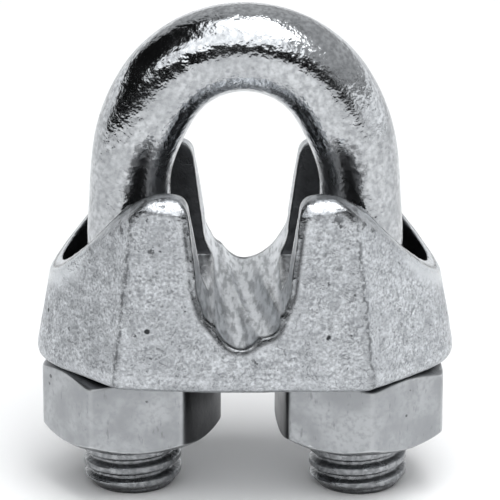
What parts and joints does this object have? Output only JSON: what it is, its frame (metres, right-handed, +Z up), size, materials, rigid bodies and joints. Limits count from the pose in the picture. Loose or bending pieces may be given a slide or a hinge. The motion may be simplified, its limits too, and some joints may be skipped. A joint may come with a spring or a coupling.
{
  "type": "wire rope clip",
  "caption": "Saddle-and-U-bolt clip for wire rope: ribbed cast saddle, round-bar U-bolt with threaded legs and hexagon nuts.",
  "frame": {"origin": "middle of the underside of the two stud ends, half way between the legs", "axes": "+Z up from the stud ends to the crown of the U-bolt, X from leg to leg, Y along the rope"},
  "size_m": [0.0334, 0.02, 0.0401],
  "materials": {
    "saddle": "zinc plated casting, bright and finely mottled",
    "u_bolt": "zinc plated bar, glossy",
    "nuts": "zinc plated, satin"
  },
  "bodies": {
    "saddle": {"saddle": "saddle"},
    "u_bolt": {"u_bolt": "u_bolt"},
    "nut_left": {"nut_left": "nuts"},
    "nut_right": {"nut_right": "nuts"}
  },
  "joints": [
    {"name": "u_bolt_slide", "type": "slide", "parent": "saddle", "child": "u_bolt", "axis": [0, 0, 1], "range_m": [-0.0045, 0.0043]},
    {"name": "nut_left_spin", "type": "hinge", "parent": "saddle", "child": "nut_left", "pos_m": [-0.00915, 0, 0.0077], "axis": [0, 0, 1], "range_deg": [-1239, 1297]},
    {"name": "nut_right_spin", "type": "hinge", "parent": "saddle", "child": "nut_right", "pos_m": [0.00915, 0, 0.0077], "axis": [0, 0, 1], "range_deg": [-1239, 1297]}
  ],
  "couplings": [
    {"joint": "nut_left_spin", "follows": "u_bolt_slide", "rad_per_m": -5026.5},
    {"joint": "nut_right_spin", "follows": "u_bolt_slide", "rad_per_m": -5026.5}
  ]
}
